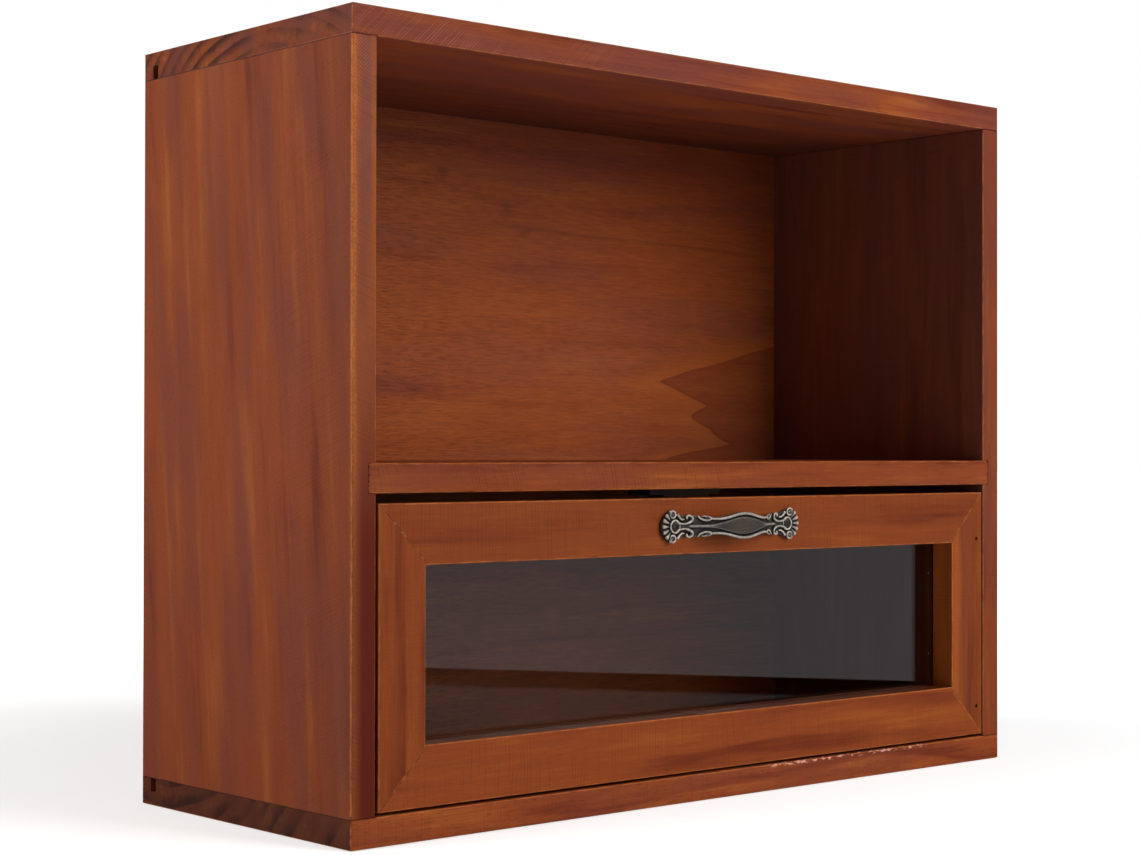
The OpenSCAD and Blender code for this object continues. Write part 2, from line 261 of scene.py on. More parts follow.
def wood(name, axes, seed, low, high, pith=(30, -90), ring=11.0, figure=0.5, contrast=1.0,
         hue=(1.0, 1.0, 1.0), band=(60, 3.4), fibre=1.0, fibre_size=(16, 0.5), speckle=0.5,
         pores=0.3, pore=(5, 0.45), tint=0.0, shade=1.0, saw=0.3, saw_slope=0.0, saw_pitch=1.8,
         saw_colour=GROOVE, saw_zones=(), end_shade=1.0, faces=(), joints=(), run=0.0, extra=None):
    """A stained board's material. Sizes are in millimetres.

    pith is the rings' centre across the width and the thickness, and ring is their spacing.
    figure, contrast, fibre, speckle, pores, tint and saw say how strong each layer is. band,
    fibre_size and pore give the length and width of streaks, fibres and pores. shade, hue and
    end_shade are factors on the colour; shade is partly the board's own tone and partly painted
    light and shade for how the board is lit. run is how far the grain leans. faces holds rows
    of axis, place, front factor and back factor, which paint light and shade on whole faces.
    saw_zones limits the saw's marks, joints holds the planes where another board meets this
    one, and extra repaints the colour with wear, chips, figure, joint lines and painted light
    and shade.
    """
    s = Board(name, axes, seed, low, high)
    s.wide = s.total(s.wide, s.scaled(s.along, run))

    # The layers: growth rings, blotches, streaks, fibres, grit and pores
    end = s.end_grain()
    rings = s.product(s.ring_lines(pith, ring), s.between(s.field(160, 30, offset=3), 0.3, 0.65))
    blotch = s.field(70, 16, 3, 0.55, 11)
    streak = s.field(*band, 3, 0.6, 23)
    grain = s.field(*fibre_size, 2, 0.6, 37)
    grit = s.field(1.0, 0.8, 2, 0.7, 43)
    dashes = s.between(s.field(pore[0], pore[1], 1, 0.5, 51), 0.60, 0.70)

    # The stain, each board's shade factor (partly painted light and shade) and the painted light and
    # shade on its faces
    tone = s.total(s.scaled(blotch, 1.2 * contrast, -0.6 * contrast),
                   s.scaled(streak, 1.1 * contrast, -0.55 * contrast),
                   s.scaled(rings, -0.8 * figure), 0.55)
    colour = s.mix(s.between(tone, 0.0, 0.5), DARK, MID)
    colour = s.mix(s.between(tone, 0.5, 1.0), colour, LIGHT)
    colour = s.mix(s.product(s.between(s.field(110, 20, 2, 0.5, 71), 0.38, 0.66), tint),
                   colour, PURPLE)
    fine = s.total(s.scaled(grain, 0.5 * fibre, -0.25 * fibre),
                   s.scaled(grit, 0.5 * speckle, -0.25 * speckle), 1.0)
    level = s.product(fine, s.scaled(end, end_shade - 1.0, 1.0), shade)
    level = paint_face_light(s, level, faces)
    levels = s.vector(*(s.scaled(level, part) for part in hue))
    colour = s.mix(1.0, colour, levels, "MULTIPLY")
    colour = s.mix(s.product(dashes, pores), colour, LINE)
    colour = s.mix(s.product(end, rings, 0.6), colour, LINE)
    if extra:
        colour = extra(s, colour)

    # Marks of the saw across the grain, in patches
    marks = s.product(s.cross_marks(saw_slope, saw_pitch), saw,
                      s.between(s.field(44, 26, 2, 0.5, 91), 0.34, 0.56))
    for axis, start, stop, soft in saw_zones:
        marks = s.product(marks, s.within(axis, start, stop, soft))
    colour = s.mix(marks, colour, saw_colour)

    # Rubbed arrises, worn and with a painted highlight too, except where another board meets them
    edge = s.between(s.arris_distance(), 0.2, 1.1, 1.0, 0.0)
    rub_and_highlight = s.total(edge, s.scaled(s.field(5, 1.0, 2, 0.6, 5), 1.4, -0.8))
    rub_and_highlight = s.between(rub_and_highlight, 0.35, 1.1)
    rub_and_highlight, hair = along_joints(s, rub_and_highlight, joints)
    colour = s.mix(s.product(rub_and_highlight, 0.5), colour, WORN_HIGHLIGHT)
    nicks = s.between(s.field(2.5, 2.5, 2, 0.6, 61), 0.3, 0.42)
    colour = s.mix(s.product(hair, nicks, 0.7), colour, LINE)

    height = s.total(s.scaled(grain, 0.05 * fibre), s.scaled(dashes, -0.07 * pores),
                     s.scaled(grit, 0.03 * speckle), s.scaled(marks, -0.05),
                     s.scaled(blotch, 0.2))
    roughness = s.total(s.scaled(grain, 0.12), s.scaled(blotch, 0.1), 0.36)
    return s.finish(colour, roughness, height, specular=0.15)


def dress(node, material):
    """Gives a CAD node its material."""
    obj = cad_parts[node]
    obj.data.materials.clear()
    obj.data.materials.append(material)


def box_mm(node):
    """A CAD node's lowest and highest corner, in millimetres."""
    low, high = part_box(node)
    return low / MM, high / MM


# Corners and faces of the boards, from the frame
LEFT_LOW = box_mm("left_side")[0]
SHELF_LOW, SHELF_HIGH = box_mm("shelf")
FRONT = LEFT_LOW.y
RIGHT_IN = box_mm("right_side")[0].x
CEILING = box_mm("top_board")[0].z
BASE_TOP = box_mm("bottom_board")[1].z
RAIL_TOP = box_mm("door_bottom_rail")[1].z
STILE_IN = box_mm("door_right_stile")[0].x
DOOR_LOW = Vector((box_mm("door_left_stile")[0].x, 0, box_mm("door_bottom_rail")[0].z))
DOOR_HIGH = Vector((box_mm("door_right_stile")[1].x, 0, box_mm("door_top_rail")[1].z))
DOOR_MIDDLE = (DOOR_LOW + DOOR_HIGH) / 2
DOOR_HALF = (DOOR_HIGH - DOOR_LOW) / 2


def gilded_edge(s, colour):
    """The left side's front edge: rubbed to gold along its outer arris, hatched near the top."""
    front = s.within("Y", FRONT - 1, FRONT + 0.6, 0.5)
    darker = s.total(s.between(s.at["Z"], 0, 170, 0.4, 0.0),
                     s.between(s.at["Y"], -78, -20, 0.35, 0.0))
    colour = s.mix(s.product(darker, s.scaled(front, -1.0, 1.0)), colour,
                   (0.70, 0.66, 0.58, 1.0), "MULTIPLY")
    colour = s.mix(s.scaled(front, 0.45), colour, EDGE_BROWN)
    band = s.between(s.total(s.scaled(s.at["X"], 1.0, -LEFT_LOW.x),
                             s.scaled(s.field(40, 4, 2, 0.5, 7), 2.0, -1.0)), 1.2, 3.0, 1.0, 0.0)
    spots = s.between(s.field(0.8, 0.7, 2, 0.7, 15), 0.40, 0.60)
    colour = s.mix(s.product(front, band, s.scaled(spots, 0.4, 0.15),
                             s.between(s.at["Z"], 60, 200, 0.5, 1.0)), colour, EDGE_GOLD)
    stripe = s.product(front, s.within("X", LEFT_LOW.x + 5, LEFT_LOW.x + 8, 2.0),
                       s.between(s.at["Z"], 190, 270, 0.0, 0.7))
    colour = s.mix(stripe, colour, EDGE_BRUISE)
    low_stain = s.product(front, s.between(s.at["Z"], 110, 200, 0.95, 0.0),
                          s.between(s.at["X"], LEFT_LOW.x + 2, LEFT_LOW.x + 6, 0.5, 1.0))
    colour = s.mix(low_stain, colour, EDGE_STAIN)
    lean = s.total(s.at["Z"], s.scaled(s.at["X"], -1.0),
                   s.scaled(s.field(20, 20, 1, 0.5, 87), 4.0))
    hatch = s.product(s.between(s.math("SINE", s.scaled(lean, math.tau / 1.3)), 0.1, 1.0),
                      s.between(s.field(9, 9, 2, 0.5, 89), 0.35, 0.6))
    return s.mix(s.product(front, hatch, s.between(s.at["Z"], 240, 295, 0.0, 0.2)), colour,
                 EDGE_HATCH)


# Tips of the veneer's darker heart: x, z, and how far its edge falls back per mm up and down
FLAME = [(103, 191, 4.4, 2.6), (127, 172, 2.4, 1.9), (106, 149, 7.2, 3.0)]
# Knots: x, z and radius
KNOTS = [(-3, 273, 5), (9, 263, 4), (-44, 289, 6)]
SEAM_Z = 265.0
SEAM_SLOPE = 0.025


def veneer_figure(s, colour):
    """The figure, knots and open pores of the veneer on the back panel's front face, with painted shade
    in its upper part and a painted shadow just below the top board.
    """
    plain = colour
    face = s.between(s.at["Y"], s.low["Y"] + 0.4, s.low["Y"] + 0.8, 1.0, 0.0)
    x = s.total(s.at["X"], s.scaled(s.field(40, 13, 1, 0.5, 19), 14.0, -7.0))
    z = s.total(s.at["Z"], s.scaled(s.field(60, 24, 1, 0.5, 27), 7.0, -3.5))
    nearest = -200.0
    for tip_x, tip_z, up, down in FLAME:
        off = s.math("SUBTRACT", z, tip_z)
        rounded = s.scaled(s.math("SQRT", s.total(s.product(off, off), 0.8)), 1.0, -0.9)
        rise = s.product(s.math("GREATER_THAN", off, 0.0), rounded)
        drop = s.product(s.math("GREATER_THAN", 0.0, off), rounded)
        depth = s.total(x, s.scaled(rise, -up), s.scaled(drop, -down), -tip_x)
        nearest = s.add("Math", {0: nearest, 1: depth, 2: 2.5}, operation="SMOOTH_MAX")
    inside = s.between(nearest, -0.9, 0.9)
    colour = s.mix(s.product(s.between(nearest, -45, -1, 0.0, 0.35), s.scaled(inside, -1.0, 1.0)),
                   colour, LIGHT)
    shade = s.product(inside, s.between(nearest, 0, 60, 0.5, 0.3))
    colour = s.mix(shade, colour, FIGURE_BROWN)
    rim = s.product(s.between(nearest, -0.6, 0.6), s.between(nearest, 0.8, 4.0, 1.0, 0.0))
    colour = s.mix(s.product(rim, 0.3), colour, GROOVE)
    for knot_x, knot_z, size in KNOTS:
        off_x, off_z = s.scaled(s.at["X"], 0.8, -0.8 * knot_x), s.scaled(z, 1.0, -knot_z)
        away = s.math("SQRT", s.total(s.product(off_x, off_x), s.product(off_z, off_z)))
        away = s.total(away, s.scaled(s.field(4, 3, 2, 0.6, 29), 9.0, -4.5))
        colour = s.mix(s.between(away, 0.0, size, 0.3, 0.0), colour, GROOVE)
    off_seam = s.math("ABSOLUTE", s.total(s.at["Z"], s.scaled(s.at["X"], SEAM_SLOPE), -SEAM_Z,
                                          s.scaled(s.field(90, 30, 1), 4.0, -2.0)))
    seam = s.product(s.between(off_seam, 0.3, 1.4, 1.0, 0.0), s.within("X", 5, 165, 20.0))
    colour = s.mix(s.product(seam, 0.25), colour, GROOVE)
    wavy = s.total(s.wide, s.scaled(s.field(34, 16, 1, 0.5, 33), 6.0))
    dashes = s.noise(s.vector(s.scaled(s.along, 1 / 8), s.scaled(wavy, 1 / 0.62), 0.0), detail=2.0)
    open_pores = s.product(s.between(dashes, 0.50, 0.64), s.between(s.at["X"], -140, 40, 0.6, 0.1),
                           s.between(s.field(60, 22, 2, 0.5, 35), 0.3, 0.6, 0.45, 1.0))
    colour = s.mix(open_pores, colour, OPEN_PORE)
    # Painted shade: darker and redder in the upper part, most on the right, where the top and right
    # boards shade the panel, and a painted shadow close below the top board
    upper = s.product(s.between(s.at["Z"], 190, 300), s.between(s.at["X"], -170, 120))
    colour = s.mix(s.scaled(upper, 0.6), colour, (0.72, 0.52, 0.48, 1.0), "MULTIPLY")
    shadow_below_top = s.between(s.at["Z"], CEILING - 42, CEILING, 0.0, 0.6)
    colour = s.mix(shadow_below_top, colour, (0.42, 0.32, 0.38, 1.0), "MULTIPLY")
    return s.mix(face, plain, colour)


CHIPS_X = (40, 138)


def chipped_arris(s, colour):
    """Flaked finish along the bottom board's upper front arris."""
    near = s.product(s.between(s.at["Z"], BASE_TOP - 1.8, BASE_TOP - 0.8),
                     s.within("Y", FRONT - 1, FRONT + 1.2, 0.4), s.within("X", *CHIPS_X, 10.0))
    flake = s.between(s.noise(s.vector(s.scaled(s.at["X"], 0.35), s.at["Y"], s.at["Z"]), 1.0, 3.0),
                      0.52, 0.60)
    return s.mix(s.product(near, flake, 0.8), colour, CHIP)


def mitre_line(s, colour):
    """The fine dark line along the mitres at the door's corners, beside a lighter line that is wear and
    a painted highlight.
    """
    gaps = []
    for axis, middle, half in (("X", DOOR_MIDDLE.x, DOOR_HALF.x), ("Z", DOOR_MIDDLE.z, DOOR_HALF.z)):
        off = s.math("ABSOLUTE", s.math("SUBTRACT", s.at[axis], middle))
        gaps.append(s.math("SUBTRACT", half, off))
    gap = s.math("ABSOLUTE", s.math("SUBTRACT", *gaps))
    broken = s.between(s.field(3, 3, 2, 0.6, 77), 0.34, 0.56, 0.15, 0.8)
    left = s.between(s.at["X"], -40, 40, 1.0, 0.4)
    # A lighter line beside the mitre: wear and a painted highlight
    rubbed = s.product(s.between(gap, 0.3, 0.9, 1.0, 0.0), s.scaled(broken, -0.35, 0.35))
    colour = s.mix(rubbed, colour, WORN_HIGHLIGHT)
    return s.mix(s.product(s.between(gap, 0.1, 0.38, 1.0, 0.0), broken, left), colour, LINE)


def lit_inner_edge(s, colour):
    """The right stile: painted light along the glass, on its inner face and the front beside it, then
    darker, with its mitre lines.
    """
    inner = s.total(s.at["X"], s.scaled(s.field(70, 6, 2, 0.5, 93), 8.0, -4.0), -STILE_IN)
    colour = s.mix(s.between(inner, 3, 9, 0.45, 0.0), colour, LIGHT)
    dark = s.product(s.between(inner, 7, 11), s.between(inner, 12, 17, 0.25, 0.0))
    return mitre_line(s, s.mix(dark, colour, PURPLE))


def torn_ends(s, colour):
    """Torn finish where the shelf's ends are let into the sides' front edges."""
    end = s.math("MINIMUM", s.math("ABSOLUTE", s.scaled(s.at["X"], 1.0, -SHELF_LOW.x)),
                 s.math("ABSOLUTE", s.scaled(s.at["X"], 1.0, -SHELF_HIGH.x)))
    ragged = s.total(end, s.scaled(s.noise(s.vector(s.at["X"], s.at["Y"], s.at["Z"]), 0.9, 3.0),
                                   3.4, -1.7))
    return s.mix(s.between(ragged, 0.1, 0.9, 0.85, 0.0), colour, LINE)


def painted_sheen(axis, at, strength):
    """A painted sheen on one face, which makes it greyer and duller."""
    def extra(s, colour):
        return s.mix(s.scaled(s.on_face(axis, at), strength), colour, SHEEN_GREY)
    return extra


# The sides' ends meet the top and bottom boards from here outwards
CAP_ENDS = [[("X", SHELF_HIGH.x - 4, 999)], [("X", -999, SHELF_LOW.x + 4)]]
SIDE_JOINTS = [("Z", CEILING, []), ("Z", BASE_TOP, [])]
FRONT_EDGE = ("Y", FRONT - 1, FRONT + 1, 0.5)
DOOR_HUE = (1.0, 1.0, 0.85)
# Each board's shade is partly its own tone and partly painted light and shade, set for how that board
# is lit
BOARDS = {
    "left_side": dict(axes="ZYX", seed=1, pith=(10, -290), ring=15, figure=0.3, fibre=0.4,
                      band=(190, 6.5), speckle=1.3, pores=0.06, contrast=0.85,
                      tint=0.55, shade=0.74, saw=0.2, saw_slope=0.35, run=-0.09,
                      saw_zones=[("Y", -78, -40, 25)], extra=gilded_edge,
                      joints=SIDE_JOINTS),
    # The right side: a painted sheen on its inner face
    "right_side": dict(axes="ZYX", seed=2, pith=(30, 290), ring=14, tint=0.6, shade=0.70, saw=0.1,
                       fibre=0.6, pores=0.15, extra=painted_sheen("X", RIGHT_IN, 0.35),
                       joints=SIDE_JOINTS),
    # The ceiling: painted light, brighter at the front and darker at the back, and a painted sheen
    "top_board": dict(axes="XYZ", seed=3, pith=(-20, 230), ring=6, tint=0.8, shade=0.80, saw=0.3,
                      faces=[("Z", CEILING, 1.8, 0.76)], pores=0.15,
                      extra=painted_sheen("Z", CEILING, 0.2), saw_slope=-1.0, saw_pitch=1.6,
                      saw_colour=SAWN, end_shade=0.8,
                      saw_zones=[("X", -200, -110, 80), FRONT_EDGE],
                      joints=[("Z", CEILING, zones) for zones in CAP_ENDS]),
    "bottom_board": dict(axes="XYZ", seed=4, pith=(60, 90), ring=9, tint=0.3, shade=0.85, saw=0.2,
                         end_shade=0.32, extra=chipped_arris,
                         joints=[("Z", BASE_TOP, zones) for zones in CAP_ENDS]),
    "shelf": dict(axes="XYZ", seed=5, pith=(0, 60), ring=10, tint=0.3, shade=0.74, saw=0.4,
                  pores=0.15, saw_slope=0.25, extra=torn_ends,
                  saw_zones=[("X", -200, 40, 60), FRONT_EDGE],
                  joints=[("X", SHELF_LOW.x, []), ("X", SHELF_HIGH.x, [])]),
    "back_panel": dict(axes="XZY", seed=6, pith=(230, 20), ring=18, figure=0.3, contrast=0.6,
                       pores=0.1, pore=(7, 0.5), tint=0.35, saw=0.0, extra=veneer_figure,
                       shade=0.97, hue=(0.94, 1.04, 1.04), fibre=1.5, fibre_size=(11, 0.75)),
    "door_top_rail": dict(axes="XZY", seed=7, pith=(140, 0), ring=9, contrast=0.6, shade=0.69,
                          hue=DOOR_HUE, fibre=0.8, saw=0.32, pores=0.1,
                          extra=mitre_line),
    # The rail's top face inside the window is darkened to 0.45: painted shade
    "door_bottom_rail": dict(axes="XZY", seed=8, pith=(-20, 0), ring=9, contrast=0.6, shade=0.81,
                             hue=DOOR_HUE, fibre=0.8, saw=0.26, pores=0.1,
                             extra=mitre_line, faces=[("Z", RAIL_TOP, 0.45, 0.45)]),
    "door_left_stile": dict(axes="ZXY", seed=9, pith=(-230, 0), ring=8, figure=0.5, contrast=0.7,
                            hue=(1.0, 1.0, 0.8), shade=0.74, saw=0.1, pores=0.12,
                            extra=mitre_line),
    # The stile's inner face along the glass is brightened 2.3 times: painted light
    "door_right_stile": dict(axes="ZXY", seed=10, pith=(230, 0), ring=8, contrast=0.7, shade=0.64,
                             hue=(1.0, 0.97, 0.75), saw=0.1, pores=0.12, extra=lit_inner_edge,
                             faces=[("X", STILE_IN, 2.3, 2.3)]),
}


def dress_boards():
    """Gives every board its own wood, so that no two show the same grain."""
    for node, look in BOARDS.items():
        low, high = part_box(node)
        dress(node, wood("wood_" + node, low=low, high=high, **look))


# ---- Everything else ----

def plain_wood(name, base, seed):
    """Wood with a fine plain grain along X, for small pieces."""
    s = Shader(name)
    place = s.place()
    grain = s.noise(s.vector(s.scaled(place["X"], 0.3, seed), s.scaled(place["Y"], 1.2),
                             s.scaled(place["Z"], 1.2)), detail=3.0)
    colour = s.mix(s.between(grain, 0.3, 0.7, 0.0, 0.5), base, DARK, "MULTIPLY")
    return s.finish(colour, s.scaled(grain, 0.2, 0.5), s.scaled(grain, 0.05))


def metal(name, base, rough, wear=0.3, metallic=1.0):
    """Metal with dull spots, as strong as wear says."""
    s = Shader(name)
    place = s.place()
    point = s.vector(place["X"], place["Y"], place["Z"])
    broad = s.noise(point, 0.35, 3.0)
    fine = s.noise(point, 3.0, 2.0)
    colour = s.mix(s.scaled(broad, wear), base, (0.02, 0.018, 0.016, 1.0))
    return s.finish(colour, s.scaled(fine, 0.2, rough), s.scaled(fine, 0.03), metallic=metallic)


def plastic(name, base):
    s = Shader(name)
    place = s.place()
    fine = s.noise(s.vector(place["X"], place["Y"], place["Z"]), 2.5, 2.0)
    return s.finish(s.mix(s.scaled(fine, 0.4), base, (0.03, 0.03, 0.03, 1.0)),
                    s.scaled(fine, 0.2, 0.4), s.scaled(fine, 0.05))


def clear_glass():
    s = Shader("clear_glass")
    s.surface.inputs["Base Color"].default_value = (0.93, 0.96, 0.95, 1.0)
    s.surface.inputs["Roughness"].default_value = 0.0
    return s.finish(transmission=1.0, ior=1.5)


def dress_fittings():
    """The glass, its beads, the hidden wood, and every metal and plastic piece but the handle."""
    dress("glass_pane", clear_glass())
    beads = plain_wood("wood_beads", MID, 5.0)
    for node in ("bead_top", "bead_bottom", "bead_left", "bead_right"):
        dress(node, beads)
    raw = plain_wood("wood_raw", srgb(196, 160, 112), 9.0)
    for node in ("carcass_dowels", "mitre_splines"):
        dress(node, raw)
    dark = metal("steel_dark", (0.10, 0.09, 0.085, 1.0), 0.35)
    for node in ("stile_brads", "strike_screw"):
        dress(node, dark)
    dress("handle_screws", metal("steel_aged", (0.09, 0.075, 0.065, 1.0), 0.4, 0.6, metallic=0.5))
    bright = metal("steel_bright", (0.55, 0.54, 0.52, 1.0), 0.28, 0.15)
    for node in ("glazing_pins", "hinge_pin_left", "hinge_pin_right", "strike_plate",
                 "catch_poles", "catch_screws"):
        dress(node, bright)
    dress("catch_body", plastic("plastic_brown", srgb(70, 44, 30)))
    dress("catch_magnet", plastic("magnet_black", srgb(30, 28, 28)))


# ---- The cast handle ----

# In millimetres: u runs along the handle from its middle, v up, w out from its bent front
PAD_T = 2.4
PROUD = 9.8
BOW_HALF = 31.0
NECK = 3.8
WAIST_U = 15
FLARE = 12
LENS_END = 20
SCREW_U = 35.5
BOSS_U = 36.0
VOLUTE_U = 37.0
VOLUTE_V = 5.3
SLAB_TOP = -0.9
VOXEL = 0.2
SMOOTH_ROUNDS = 3
CREST_ROUNDS = 60


def bow(u):
    """How far the casting's front stands from the door."""
    if abs(u) >= BOW_HALF:
        return PAD_T
    return PAD_T + (PROUD - PAD_T) * math.sin(math.pi / 4 * (1 + math.cos(math.pi * u / BOW_HALF)))


def half_height(u):
    """Half the height of the strip between the shell ends."""
    u = abs(u)
    if u < WAIST_U:
        return NECK + 1.1 * (1 + math.cos(math.pi * u / WAIST_U))
    return NECK + 0.5 * (1 - math.cos(math.pi * min(u - WAIST_U, FLARE) / FLARE))


def lens_half(u):
    """Half the width of the raised panel, which narrows to a ridge along the necks."""
    return 0.6 + 1.6 * (1 + math.cos(math.pi * min(abs(u), LENS_END) / LENS_END))


def spline(points, steps=6):
    """A smooth line through the points (Catmull-Rom), with each end point repeated."""
    ends = [points[0]] + list(points) + [points[-1]]
    line = []
    for i in range(1, len(ends) - 2):
        a, b, c, d = (Vector(p) for p in ends[i - 1:i + 3])
        for k in range(steps):
            t = k / steps
            line.append(0.5 * (2 * b + (c - a) * t + (2 * a - 5 * b + 4 * c - d) * t * t
                               + (3 * b - a - 3 * c + d) * t ** 3))
    line.append(Vector(points[-1]))
    return line


class Relief:
    """Closed shells in (u, v, w) that are later fused into one casting."""

    def __init__(self):
        self.points = []
        self.faces = []

    def rings(self, rings):
        """Skins a row of equal rings and closes both ends."""
        first = len(self.points)
        count = len(rings[0])
        for ring in rings:
            self.points.extend(ring)
        for i in range(len(rings) - 1):
            for k in range(count):
                a, b = first + i * count + k, first + i * count + (k + 1) % count
                self.faces.append((a, b, b + count, a + count))
        last = first + (len(rings) - 1) * count
        self.faces.append(tuple(range(first + count - 1, first - 1, -1)))
        self.faces.append(tuple(range(last, last + count)))

    def tube(self, line, radii, level=-0.5, sides=10):
        """A round bar along a line in (u, v), with radii interpolated from end to end."""
        rings = []
        for i, point in enumerate(line):
            ahead = line[min(i + 1, len(line) - 1)] - line[max(i - 1, 0)]
            along = ahead.normalized()
            across = Vector((-along.y, along.x))
            at = i / (len(line) - 1) * (len(radii) - 1)
            low = min(int(at), len(radii) - 2)
            radius = radii[low] + (radii[low + 1] - radii[low]) * (at - low)
            rings.append([(point.x + across.x * radius * math.cos(a),
                           point.y + across.y * radius * math.cos(a),
                           level + radius * math.sin(a))
                          for a in (math.tau * k / sides for k in range(sides))])
        self.rings(rings)

    def loop(self, centre, radii, bar, level=-0.5, steps=28):
        """A round bar bent into an ellipse."""
        line = [Vector((centre[0] + radii[0] * math.cos(a), centre[1] + radii[1] * math.sin(a)))
                for a in (math.tau * k / steps for k in range(steps + 2))]
        self.tube(line, [bar, bar], level)

    def bead(self, centre, radii, level, steps=12):
        """An ellipsoid."""
        rings = []
        for i in range(1, steps):
            a = math.pi * i / steps
            ring = []
            for k in range(steps):
                b = math.tau * k / steps
                ring.append((centre[0] - radii[0] * math.cos(a),
                             centre[1] + radii[1] * math.sin(a) * math.cos(b),
                             level + radii[2] * math.sin(a) * math.sin(b)))
            rings.append(ring)
        self.rings(rings)

    def strip(self, low, high, half, bottom, top, steps=80):
        """A bar along u whose half width follows half(u) and whose top is crowned."""
        rings = []
        for i in range(steps + 1):
            u = low + (high - low) * i / steps
            h = half(u)
            rise = top(u)
            edge = rise - 0.35 * h / 4
            rings.append([(u, -h, bottom), (u, h, bottom), (u, h, edge), (u, h * 0.7, rise - 0.05),
                          (u, 0, rise + 0.05), (u, -h * 0.7, rise - 0.05), (u, -h, edge)])
        self.rings(rings)


# Centre lines of the leaves at one end, in (u, v)
LEAF_SCROLL = [(34.8, 2.4), (33.2, 1.5), (30.4, 1.0), (27.8, 1.5), (26.0, 2.7), (26.2, 4.1),
               (27.7, 4.7), (28.8, 4.1), (28.2, 3.3)]
LEAF_VEIN = [(34.2, 5.4), (32.8, 3.9), (31.2, 3.0), (29.8, 3.2)]
LEAF_TIP = [(23.4, 4.7), (22.2, 3.4), (20.2, 2.6), (18.4, 2.8), (17.8, 3.5), (19.4, 4.2),
            (21.6, 4.4)]


def relief_end(relief, side):
    """One shell end: boss, fan, volutes and leaves, mirrored by side."""
    relief.bead((side * BOSS_U, 0), (7.4, 6.3, 0.9), SLAB_TOP - 0.75)
    disc = [(side * (BOSS_U + 0.2) + 6.9 * math.cos(a), 6.3 * math.sin(a))
            for a in (math.tau * k / 40 for k in range(40))]
    relief.rings([[(u, v, w) for u, v in disc] for w in (-PAD_T, SLAB_TOP - 0.1)])
    relief.loop((side * SCREW_U, 0), (2.75, 2.75), 0.5, -0.35)
    for k in range(-3, 4):
        angle = math.radians(22.0 * k)
        outward = Vector((side * math.cos(angle), math.sin(angle)))
        line = [Vector((side * SCREW_U, 0)) + outward * reach for reach in (3.5, 4.6, 5.8, 6.9, 7.6)]
        relief.tube(line, [0.3, 0.65, 0.95, 1.1, 0.75], -0.75)
    for up in (-1, 1):
        def placed(points):
            return spline([(side * u, up * v) for u, v in points])
        relief.loop((side * VOLUTE_U, up * VOLUTE_V), (1.6, 1.5), 0.5, -0.3)
        relief.bead((side * VOLUTE_U, up * VOLUTE_V), (0.6, 0.55, 0.5), -0.5)
        relief.tube(placed(LEAF_SCROLL), [0.55, 0.6, 0.75, 0.6, 0.35], -0.4)
        relief.tube(placed(LEAF_VEIN), [0.75, 0.55, 0.3], -0.5)
        relief.tube(placed(LEAF_TIP), [0.35, 0.5, 0.65, 0.5, 0.3], -0.4)


def handle_relief():
    """The strip with its raised panel and rims, and both shell ends."""
    relief = Relief()
    relief.strip(-34, 34, half_height, -2.5, lambda u: SLAB_TOP)
    relief.strip(-32.5, 32.5, lens_half, -1.6, lambda u: -0.3 + 0.35 * lens_half(u) / 4)
    rim_u = [20 - 2 * k for k in range(21)]
    for up in (-1, 1):
        rim = [(u, up * (half_height(u) - 0.65)) for u in rim_u]
        relief.tube(spline(rim, 3), [0.45, 0.75, 0.75, 0.75, 0.45], -0.45)
    for side in (-1, 1):
        relief_end(relief, side)
    return relief


def fused(relief):
    """One skin round all the shells, in millimetres."""
    mesh = bpy.data.meshes.new("handle_shells")
    mesh.from_pydata([(u, v, bow(u) + w) for u, v, w in relief.points], [], relief.faces)
    shells = bpy.data.objects.new("handle_shells", mesh)
    bpy.context.scene.collection.objects.link(shells)
    remesh = shells.modifiers.new("fuse", "REMESH")
    remesh.mode = "VOXEL"
    remesh.voxel_size = VOXEL
    smooth = shells.modifiers.new("soften", "SMOOTH")
    smooth.iterations = SMOOTH_ROUNDS
    graph = bpy.context.evaluated_depsgraph_get()
    skin = bpy.data.meshes.new_from_object(shells.evaluated_get(graph))
    bpy.data.objects.remove(shells)
    return skin


def crests(skin, heights):
    """How far each vertex stands above the casting around it, in millimetres."""
    ends = np.empty(2 * len(skin.edges), dtype=np.int64)
    skin.edges.foreach_get("vertices", ends)
    first, second = ends.reshape(-1, 2).T
    count = len(heights)
    neighbours = np.bincount(ends, minlength=count)
    level = heights.copy()
    for _ in range(CREST_ROUNDS):
        around = (np.bincount(first, level[second], count)
                  + np.bincount(second, level[first], count))
        level = (level + around / neighbours) / 2
    return heights - level


